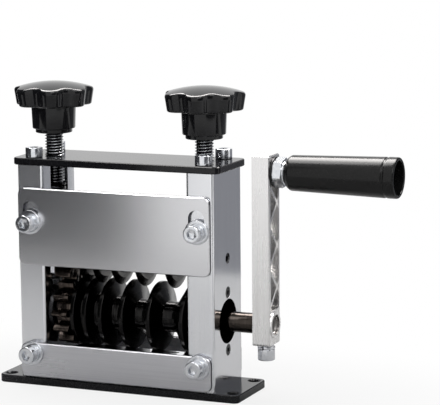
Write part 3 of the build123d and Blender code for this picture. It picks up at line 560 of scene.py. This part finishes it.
def split_ring(centre, axis, inner, outer, thickness, gap_angle, slit_at):
    """A split spring washer: a square section with rounded edges carried round an open ring,
    its ends closed."""
    section = soften([(inner, 0), (outer, 0), (outer, thickness), (inner, thickness),
                      (inner, 0)], 0.22, 3)
    middle = section.mean(0)
    half = gap_angle / 2
    turn = np.linspace(slit_at + half, slit_at + 2 * math.pi - half, 60)
    rows = np.concatenate([turn[:1], turn, turn[-1:]])
    size = np.ones(len(rows))
    size[[0, -1]] = 0.0
    ring = middle + size[:, None, None] * (section[:-1] - middle)
    u, v, w = (np.array(k, float) for k in AXES[axis])
    out = np.cos(rows)[:, None, None] * u + np.sin(rows)[:, None, None] * v
    return np.array(centre) + (ring[..., :1] * out + ring[..., 1:] * w) * mm


spring_washer_back = washer_back - washer_thickness * mm
split_rings = shell("split_washer_rings", [
    split_ring((x, spring_washer_back, z), "-Y", washer_bore, 4.5, 1.3, 0.2, 2.1)
    for x, z in washer_places])
finish_piece(split_rings, plated, "frame", "screw_steel", "spring_washers")

dress(plated, "base_screws", "handle_spindle", "back_plate_screws")


# ---- Ball bearings of the crank shaft and the small screws about them --------------------
# Blackened rings with polished balls between them, pressed into the posts. Black flat-head
# screws stand above and below each bore, and a set screw is level with the blades.

polished = material_of("polished steel", (0.80, 0.81, 0.83), 1.0, 0.09)
add_grain(polished, (40, 900, 900), 0.1, 0.1, 0.15, 60.0,
          ((0.74, 0.75, 0.77), (0.83, 0.84, 0.86)))
dress(polished, "bearing_balls")

black_oxide = material_of("black oxide", (0.02, 0.02, 0.022), 0.85, 0.3)
add_grain(black_oxide, (700, 700, 700), 0.28, 0.2, 0.3, 90.0,
          ((0.016, 0.016, 0.018), (0.035, 0.034, 0.035)))
dress(black_oxide, "retainer_screws", "side_screws", "bearing_outer_races", "bearing_inner_races")


# ---- Feed table --------------------------------------------------------------------------
# A bent strip of polished steel behind the lower plate. It mirrors the discs above it.

dress(polished, "feed_table")


# ---- Lower shaft, feed discs and gear ----------------------------------------------------
# The shaft is ground steel with a brown cast; the discs are turned from steel and blackened, so
# that they are nearly black with sharp bright edges. Rims stand between grooves that widen.

shaft_steel = material_of("shaft steel", (0.08, 0.068, 0.06), 1.0, 0.14)
add_grain(shaft_steel, (1800, 60, 60), 0.13, 0.1, 0.2, 50.0,
          ((0.034, 0.028, 0.024), (0.065, 0.055, 0.048)))

black_steel = material_of("blackened steel", (0.02, 0.02, 0.021), 1.0, 0.2)
add_grain(black_steel, (2500, 90, 90), 0.17, 0.14, 0.25, 45.0,
          ((0.010, 0.010, 0.011), (0.026, 0.025, 0.024)))

shaft_radius = 5.0
shaft_bore = shaft_radius + 0.02              # of everything that sits on a shaft


def shaft(name, node, z, material, body, slot):
    """A ground rod with its ends broken, as long as its node."""
    low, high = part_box(node)
    length = (high.x - low.x) / mm
    rod = soften([(0, 0), (shaft_radius, 0), (shaft_radius, length), (0, length)], 0.6)
    middle = np.linspace(0.1, 0.9, 9)[:, None] * [0, length] + [shaft_radius, 0]
    rod = np.vstack([rod[:5], middle, rod[5:]])
    piece = shell(name, [around(rod, "+X", (low.x, 0, z), steps=96)])
    return finish_piece(piece, material, body, slot, node)


shaft("crank_shaft_rod", "lower_shaft", lower_z, shaft_steel, "crank", "shaft_steel")
shaft("blade_shaft_rod", "upper_shaft", upper_z, shaft_steel, "blade_shaft", "shaft_steel")

# The rims' places from left to right, and how far the hubs between them stand out. Each rim
# falls steeply to its right and slants to its left, by these shares of the groove.
rims = [-24.3, -17.7, -9.1, 2.5, 16.9, 34.6]
rim_radius, rim_half, hub_radii = 17.4, 1.0, [11.0, 10.0, 8.6, 7.6, 7.6]
steep_share, slant_share = 0.18, 0.43
for k, rim in enumerate(rims):
    node = f"feed_disc_{k + 1}"
    low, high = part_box(node)
    start, end = low.x / mm, high.x / mm
    foot_left, foot_right = start + 0.05, end - 0.05
    hub_left, hub_right = hub_radii[max(k - 1, 0)], hub_radii[min(k, len(hub_radii) - 1)]
    if k > 0:
        foot_left = rim - rim_half - slant_share * (rim - rims[k - 1] - 2 * rim_half)
    if k < len(rims) - 1:
        foot_right = rim + rim_half + steep_share * (rims[k + 1] - rim - 2 * rim_half)
    outline = soften([(shaft_bore, start), (hub_left, start), (hub_left, foot_left),
                      (rim_radius, rim - rim_half), (rim_radius, rim + rim_half),
                      (hub_right, foot_right), (hub_right, end), (shaft_bore, end),
                      (shaft_bore, start)], 0.3, 5)
    turned = around(outline, "+X", (0, 0, lower_z), steps=128)
    disc = shell(f"feed_disc_turned_{k + 1}", [turned], 50)
    finish_piece(disc, black_steel, "crank", "blackened_steel", node)


def gear_grid(z, phase):
    """A spur gear of involute teeth with rounded edges. Round the gear the outline is
    r(angle) of the flanks; across it, rows run from the bore out and over both faces."""
    module, teeth, backlash, pressure = 2.5, 12, 0.25, math.radians(20)
    pitch = module * teeth / 2
    base, tip, root = pitch * math.cos(pressure), pitch + module, pitch - 1.25 * module
    half = (math.pi * module / 2 - backlash) / 2 / pitch
    at_base = half + math.tan(pressure) - pressure
    r = base + (tip - base) * np.array([0.1, 0.4, 0.7, 0.93, 1.0])
    a = at_base - (np.sqrt((r / base) ** 2 - 1) - np.arccos(base / r))
    a[-1] *= 0.55
    flank_r = np.concatenate([[root, root, root + 0.35 * module], r])
    flank_a = np.concatenate([[at_base * 1.4, at_base * 1.15, at_base * 0.92], a])
    radius = np.tile(np.concatenate([flank_r, flank_r[::-1]]), teeth)
    tooth = math.radians(phase) + 2 * math.pi * np.arange(teeth) / teeth
    angle = (tooth[:, None] + np.concatenate([-flank_a, flank_a[::-1]])[None]).ravel()
    left, right = -35.65, -27.3
    bore, edge = shaft_bore, 0.35
    chamfer = 0.3 * edge
    web = [(bore + (root - bore) * share) + 0 * radius for share in (0, 0, 0.55, 0.75)]
    teeth_rows = [radius - edge, radius - chamfer, radius, radius, radius - chamfer, radius - edge]
    radii = np.array(web + teeth_rows + web[::-1] + web[:1])
    x = np.array([left + 0.3, left, left, left, left, left + chamfer, left + edge, right - edge,
                  right - chamfer, right, right, right, right, right - 0.3, left + 0.3])
    y, height = -radii * np.cos(angle), radii * np.sin(angle)
    return np.stack([np.broadcast_to(x[:, None], y.shape) * mm, y * mm, height * mm + z], -1)


gear_steel = material_of("gear steel", (0.07, 0.058, 0.05), 1.0, 0.22)
add_grain(gear_steel, (1500, 200, 200), 0.22, 0.16, 0.3, 80.0,
          ((0.035, 0.028, 0.024), (0.11, 0.09, 0.078)))
gear_phase = 1.7
lower_gear = shell("lower_gear_cut", [gear_grid(lower_z, gear_phase)], 30)
finish_piece(lower_gear, gear_steel, "crank", "blackened_steel", "lower_gear")
upper_gear = shell("upper_gear_cut", [gear_grid(upper_z, 15 - gear_phase)], 30)
finish_piece(upper_gear, gear_steel, "blade_shaft", "blackened_steel", "upper_gear")
dress(black_steel, "lower_gear_key", "upper_gear_key", "gear_spacer", "lower_circlips",
      "upper_circlips")


# ---- Blades and their sleeves ------------------------------------------------------------
# Round blades of ground tool steel, one over each groove, with edges ground from both sides.
# Sleeves keep them apart, and bronze bushes in the blocks carry the shaft.

blade_face = material_of("blade steel", (0.09, 0.088, 0.085), 1.0, 0.2)
add_grain(blade_face, (2500, 120, 120), 0.18, 0.14, 0.25, 70.0,
          ((0.05, 0.05, 0.05), (0.14, 0.137, 0.133)))
blade_radius, blade_half, bevel, edge_half = 16.3, 1.2, 3.5, 0.08
for k in range(len(rims) - 1):
    x = (rims[k] + rims[k + 1]) / 2
    left, right = x - blade_half, x + blade_half
    bevel_foot = blade_radius - bevel
    outline = soften([(shaft_bore, left), (bevel_foot, left), (blade_radius, x - edge_half),
                      (blade_radius, x + edge_half), (bevel_foot, right), (shaft_bore, right),
                      (shaft_bore, left)], 0.12, 4)
    disc = shell(f"blade_ground_{k + 1}", [around(outline, "+X", (0, 0, upper_z), steps=128)], 20)
    finish_piece(disc, blade_face, "blade_shaft", "blade_steel", f"blade_{k + 1}")
dress(shaft_steel, "blade_spacers")

bronze = material_of("bronze", (0.55, 0.36, 0.18), 1.0, 0.4)
add_grain(bronze, (700, 700, 700), 0.38, 0.2, 0.4, 60.0,
          ((0.45, 0.29, 0.14), (0.62, 0.42, 0.22)))
dress(bronze, "block_bushes")


# ---- Springs -----------------------------------------------------------------------------
# Black spring wire. A short stiff spring stands between two pads under each knob screw, and a
# lighter one under each block, hidden in the post, gives way as the block goes down; here its
# copied mesh keeps its shape.

spring_wire = material_of("spring wire", (0.03, 0.03, 0.032), 0.8, 0.28)
add_grain(spring_wire, (500, 500, 500), 0.27, 0.18, 0.2, 90.0,
          ((0.02, 0.02, 0.022), (0.05, 0.05, 0.052)))


def coil_grid(x, low, high, coil_radius, wire, turns, sides=14):
    """A tube along a helix (r cos a, r sin a, c a), its ends closed to points."""
    a = np.linspace(0, 2 * math.pi * turns, int(48 * turns) + 1)
    climb = (high - low - 2 * wire) / (2 * math.pi * turns)
    line = np.stack([coil_radius * np.cos(a), coil_radius * np.sin(a), low + wire + climb * a], -1)
    out = np.stack([np.cos(a), np.sin(a), 0 * a], -1)
    ahead = np.stack([-coil_radius * np.sin(a), coil_radius * np.cos(a), 0 * a + climb], -1)
    side = np.cross(ahead / np.linalg.norm(ahead, axis=1)[:, None], out)
    size = np.ones(len(a)) * wire
    size[[0, -1]] = 0
    t = np.linspace(0, 2 * math.pi, sides, endpoint=False)[None, :, None]
    ring = size[:, None, None] * (np.cos(t) * out[:, None] + np.sin(t) * side[:, None])
    line[0], line[-1] = line[1], line[-2]
    return (line[:, None] + ring) * mm + np.array([x, 0, 0])


low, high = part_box("right_knob_stud")
knob_x = (low.x + high.x) / 2
low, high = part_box("pressure_springs")
wire, turns = 0.75, 4.5
coil_radius = (high.x - knob_x) / mm - wire
springs = shell("pressure_spring_coils", [
    coil_grid(side * knob_x, low.z / mm, high.z / mm, coil_radius, wire, turns)
    for side in (-1, 1)], 60)
finish_piece(springs, spring_wire, "carriage", "spring_steel", "pressure_springs")
dress(spring_wire, "return_springs")
low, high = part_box("return_springs")
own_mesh(nodes["return_springs"])
dress(black_steel, "spring_seats")


# ---- Knobs and their screws --------------------------------------------------------------
# Glossy moulded knobs: seven lobes under a low dome, a round hub and a stepped foot. Each is
# moulded on a bright M10 screw of about 1.5 mm pitch that goes down through the tapped top plate.

knob_gloss = material_of("knob gloss", (0.006, 0.006, 0.007), 0.0, 0.1, Specular_IOR_Level=0.35)
add_grain(knob_gloss, (350, 350, 350), 0.09, 0.05, 0.08, 35.0,
          ((0.005, 0.005, 0.006), (0.008, 0.008, 0.009)))


knob_radius, valley, lobe, lobe_count = 20.2, 17.1, 6.0, 7


def lobed_radius(angle, phase):
    """The knob's outline in polar form: circles of radius lobe at the tips, joined by hollow
    circles that touch them and pass the valley radius half way between two tips."""
    step = math.pi / lobe_count
    centre = knob_radius - lobe
    across = centre * math.cos(step)
    rest = lobe ** 2 - valley ** 2 - centre ** 2 + 2 * valley * across
    hollow = rest / (2 * (valley - across - lobe))
    far = valley + hollow
    a = np.abs((angle - phase + step) % (2 * step) - step)
    on_lobe = centre * np.cos(a) + np.sqrt(np.maximum(lobe ** 2 - (centre * np.sin(a)) ** 2, 0))
    b = step - a
    in_hollow = far * np.cos(b) - np.sqrt(np.maximum(hollow ** 2 - (far * np.sin(b)) ** 2, 0))
    meet_x = centre + (far * math.cos(step) - centre) * lobe / (lobe + hollow)
    meet_y = far * math.sin(step) * lobe / (lobe + hollow)
    return np.where(a < math.atan2(meet_y, meet_x), on_lobe, in_hollow)


def knob_grid(x, phase):
    """Rows from the foot of the hub, out under the rim, up its lobed side and over the dome.
    On the dome the height is crown - r^2 / (2 R), so the lobes dip below the valleys."""
    steps = 336
    angle = np.linspace(0, 2 * math.pi, steps, endpoint=False)
    lobes = lobed_radius(angle, phase)
    foot, rim_low, crown, edge = 11.3, 24.9, 36.8, 33.4      # heights above the top plate
    rim_round, brow_round, draft, hub_top = 1.1, 1.3, 1.0, 11.5
    dome = knob_radius ** 2 / (2 * (crown - edge))
    hub = soften([(4.7, foot + 0.8), (4.7, foot), (9.2, foot), (9.2, 13.4), (10.7, 13.4),
                  (11.15, rim_low - 0.5), (hub_top, rim_low)], 0.45, 4)
    rows = [(np.full(steps, r), np.full(steps, z)) for r, z in hub]
    side, start = lobes - draft, hub_top + 0.3
    for share in [0, *np.linspace(0.35, 1, 4)]:
        rows.append((start + (side - rim_round - start) * share, rim_low + 0 * angle))
    for t in np.linspace(0, math.pi / 2, 6)[1:]:
        rows.append((side - rim_round * (1 - math.sin(t)),
                     rim_low + rim_round * (1 - math.cos(t)) + 0 * angle))
    brow, low = crown - lobes ** 2 / (2 * dome), rim_low + rim_round
    for t in np.linspace(0.15, 1, 6):
        rows.append((side + (lobes - side) * t, low + (brow - brow_round - low) * t))
    inner = lobes - brow_round
    top = crown - inner ** 2 / (2 * dome)
    for t in np.linspace(0, 1, 7)[1:]:
        a, b, c = (1 - t) ** 2, 2 * t * (1 - t), t ** 2
        rows.append((a * lobes + b * lobes + c * inner,
                     a * (brow - brow_round) + b * (brow + 0.1) + c * top))
    for share in np.linspace(0.94, 0, 12):
        rows.append((inner * share, crown - (inner * share) ** 2 / (2 * dome)))
    radius, height = np.array([r for r, _ in rows]), np.array([z for _, z in rows])
    return np.stack([x + radius * np.cos(angle) * mm, radius * np.sin(angle) * mm,
                     deck + height * mm], -1)


def screw_grid(x, low, high, major=4.75, minor=3.8, pitch=1.45, turn=0.0):
    """A rod with a thread: at height z and angle a the radius is minor + (major - minor) w,
    where w is a clipped triangle wave of z / pitch - a / (2 pi), and it runs out at the tip."""
    rows = int((high - low) / pitch * 12)
    z = np.linspace(low, high, rows)
    a = np.linspace(0, 2 * math.pi, 60, endpoint=False)
    wave = np.abs(((z[:, None] / pitch - (a[None] + turn) / (2 * math.pi)) % 1) - 0.5) * 2
    wave = np.clip(wave * 1.35 - 0.2, 0, 1)
    fade = np.clip((z - low) / 1.0, 0, 1)[:, None]
    radius = minor - 0.4 * (1 - fade) + (major - minor) * wave * fade
    radius = np.vstack([0 * radius[:1], radius, 0 * radius[:1]])
    z = np.concatenate([z[:1], z, z[-1:]])
    return np.stack([x + radius * np.cos(a) * mm, radius * np.sin(a) * mm,
                     np.broadcast_to(z[:, None], radius.shape) * mm], -1)


thread_steel = material_of("thread steel", (0.72, 0.73, 0.76), 1.0, 0.18)
add_grain(thread_steel, (300, 300, 900), 0.19, 0.14, 0.2, 90.0,
          ((0.60, 0.61, 0.64), (0.80, 0.81, 0.83)))
# Painted shade: below a radius of 4.0 mm the thread is coloured nearly black, standing in for the
# shade in its roots, and the crests keep the bright steel.
add, join = makers(thread_steel.node_tree)
place, split, size = add("TexCoord"), add("SeparateXYZ"), add("Math", operation="ABSOLUTE")
from_axis, flat_place = add("Math", operation="SUBTRACT"), add("CombineXYZ")
depth, crest = add("VectorMath", operation="LENGTH"), add("MapRange")
from_axis.inputs[1].default_value = knob_x
crest.inputs["From Min"].default_value = 4.0 * mm
crest.inputs["From Max"].default_value = 4.6 * mm
join(place.outputs["Object"], split.inputs[0])
join(split.outputs["X"], size.inputs[0])
join(size.outputs[0], from_axis.inputs[0])
join(from_axis.outputs[0], flat_place.inputs["X"])
join(split.outputs["Y"], flat_place.inputs["Y"])
join(flat_place.outputs[0], depth.inputs[0])
join(depth.outputs["Value"], crest.inputs["Value"])
tint_except(crest.outputs[0], thread_steel, (0.03, 0.03, 0.035))     # the roots are painted dark, as painted shade in the grooves

for side, name, phase in ((-1, "left", 20.9), (1, "right", 9.1)):
    tip = math.radians(phase - 90)
    body = f"{name}_knob"
    knob = shell(f"{name}_knob_moulding", [knob_grid(side * knob_x, tip)], 40)
    finish_piece(knob, knob_gloss, body, "knob_plastic", f"{name}_knob_head")
    low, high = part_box(f"{name}_knob_stud")
    screw = shell(f"{name}_knob_screw", [screw_grid(side * knob_x, low.z / mm, high.z / mm)], 60)
    finish_piece(screw, thread_steel, body, "screw_steel", f"{name}_knob_stud")


# ---- Crank arm, clamp bolt, locknut and grip ---------------------------------------------
# A satin aluminium bar with a truss milled into its outer face. A bolt from below clamps it to
# the shaft. A bright nut over a black washer holds the spindle on which the moulded grip turns.

arm_aluminium = material_of("arm aluminium", (0.84, 0.83, 0.83), 1.0, 0.28)
add_grain(arm_aluminium, (900, 900, 25), 0.27, 0.08, 0.12, 30.0,
          ((0.87, 0.86, 0.855), (0.93, 0.92, 0.915)))
dress(arm_aluminium, "crank_arm")

low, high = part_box("clamp_bolt")
arm_x = (low.x + high.x) / 2
bolt_height, bolt_radius = 5.6, (high.x - low.x) / 2 / mm
bolt_seat = (arm_x, 0, low.z + bolt_height * mm)
bolt = shell("arm_clamp_bolt", [cap_screw("-Z", bolt_seat, bolt_radius, bolt_height, reach=6.5)])
finish_piece(bolt, plated, "crank", "screw_steel", "clamp_bolt")
low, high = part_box("clamp_washer")
ring = shell("arm_clamp_washer", [split_ring((arm_x, 0, low.z), "+Z", 2.6, 4.3, 1.3, 0.2, -1.57)])
finish_piece(ring, plated, "crank", "screw_steel", "clamp_washer")

low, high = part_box("handle_washer")
grip_z = (low.z + high.z) / 2
ring_radius, ring_length = (high.y - low.y) / 2 / mm, (high.x - low.x) / mm
spindle_bore = 4.05
ring = soften([(spindle_bore, 0), (ring_radius, 0), (ring_radius, ring_length),
               (spindle_bore, ring_length), (spindle_bore, 0)], 0.3)
washer = shell("arm_washer", [around(ring, "+X", (low.x, 0, grip_z))])
finish_piece(washer, black_oxide, "crank", "blackened_steel", "handle_washer")

low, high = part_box("handle_locknut")
nut_flats, nut_length, collar_radius = (high.y - low.y) / 2 / mm, 4.4, 5.6
nut_end = (high.x - low.x) / mm
nut = soften([(spindle_bore, 0), (7.0, 0), (7.55, 0.4), (7.55, nut_length - 0.4), (7.0, nut_length),
              (collar_radius, nut_length), (collar_radius, nut_end), (spindle_bore, nut_end),
              (spindle_bore, 0)], 0.2)
nut_limits = np.where(nut[:, 0] > collar_radius + 0.1, nut_flats, 99.0)
locknut = shell("spindle_locknut", [
    around(nut, "+X", (low.x, 0, grip_z), nut_limits, start=math.radians(15))])
finish_piece(locknut, plated, "crank", "polished_steel", "handle_locknut")

grip_black = material_of("grip black", (0.005, 0.005, 0.005), 0.0, 0.2, Specular_IOR_Level=0.25)
add_grain(grip_black, (900, 900, 900), 0.2, 0.07, 0.2, 30.0,
          ((0.004, 0.004, 0.004), (0.008, 0.0078, 0.0076)))
low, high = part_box("grip")
length = (high.x - low.x) / mm
small, large = 8.5, 9.9
slope = (large - small) / length
groove = length - 5.0
hole, hole_depth, groove_floor = 8.2, 17.0, large - 0.55
outline = [(spindle_bore, 0), (5.8, 0), (7.3, 0.9), (small + slope * 2.6, 2.6),
           (small + slope * (groove - 1.4), groove - 1.4), (groove_floor, groove - 1.1),
           (groove_floor, groove - 0.3), (large - 0.12, groove), (large - 0.1, length - 0.5),
           (large - 0.6, length), (hole, length), (hole, length - hole_depth),
           (spindle_bore, length - hole_depth), (spindle_bore, 0)]
handle = shell("handle_grip", [
    around(soften(outline, 0.6, 6), "+X", (low.x, 0, grip_z), steps=128)], 50)
finish_piece(handle, grip_black, "grip", "grip_plastic", "grip")
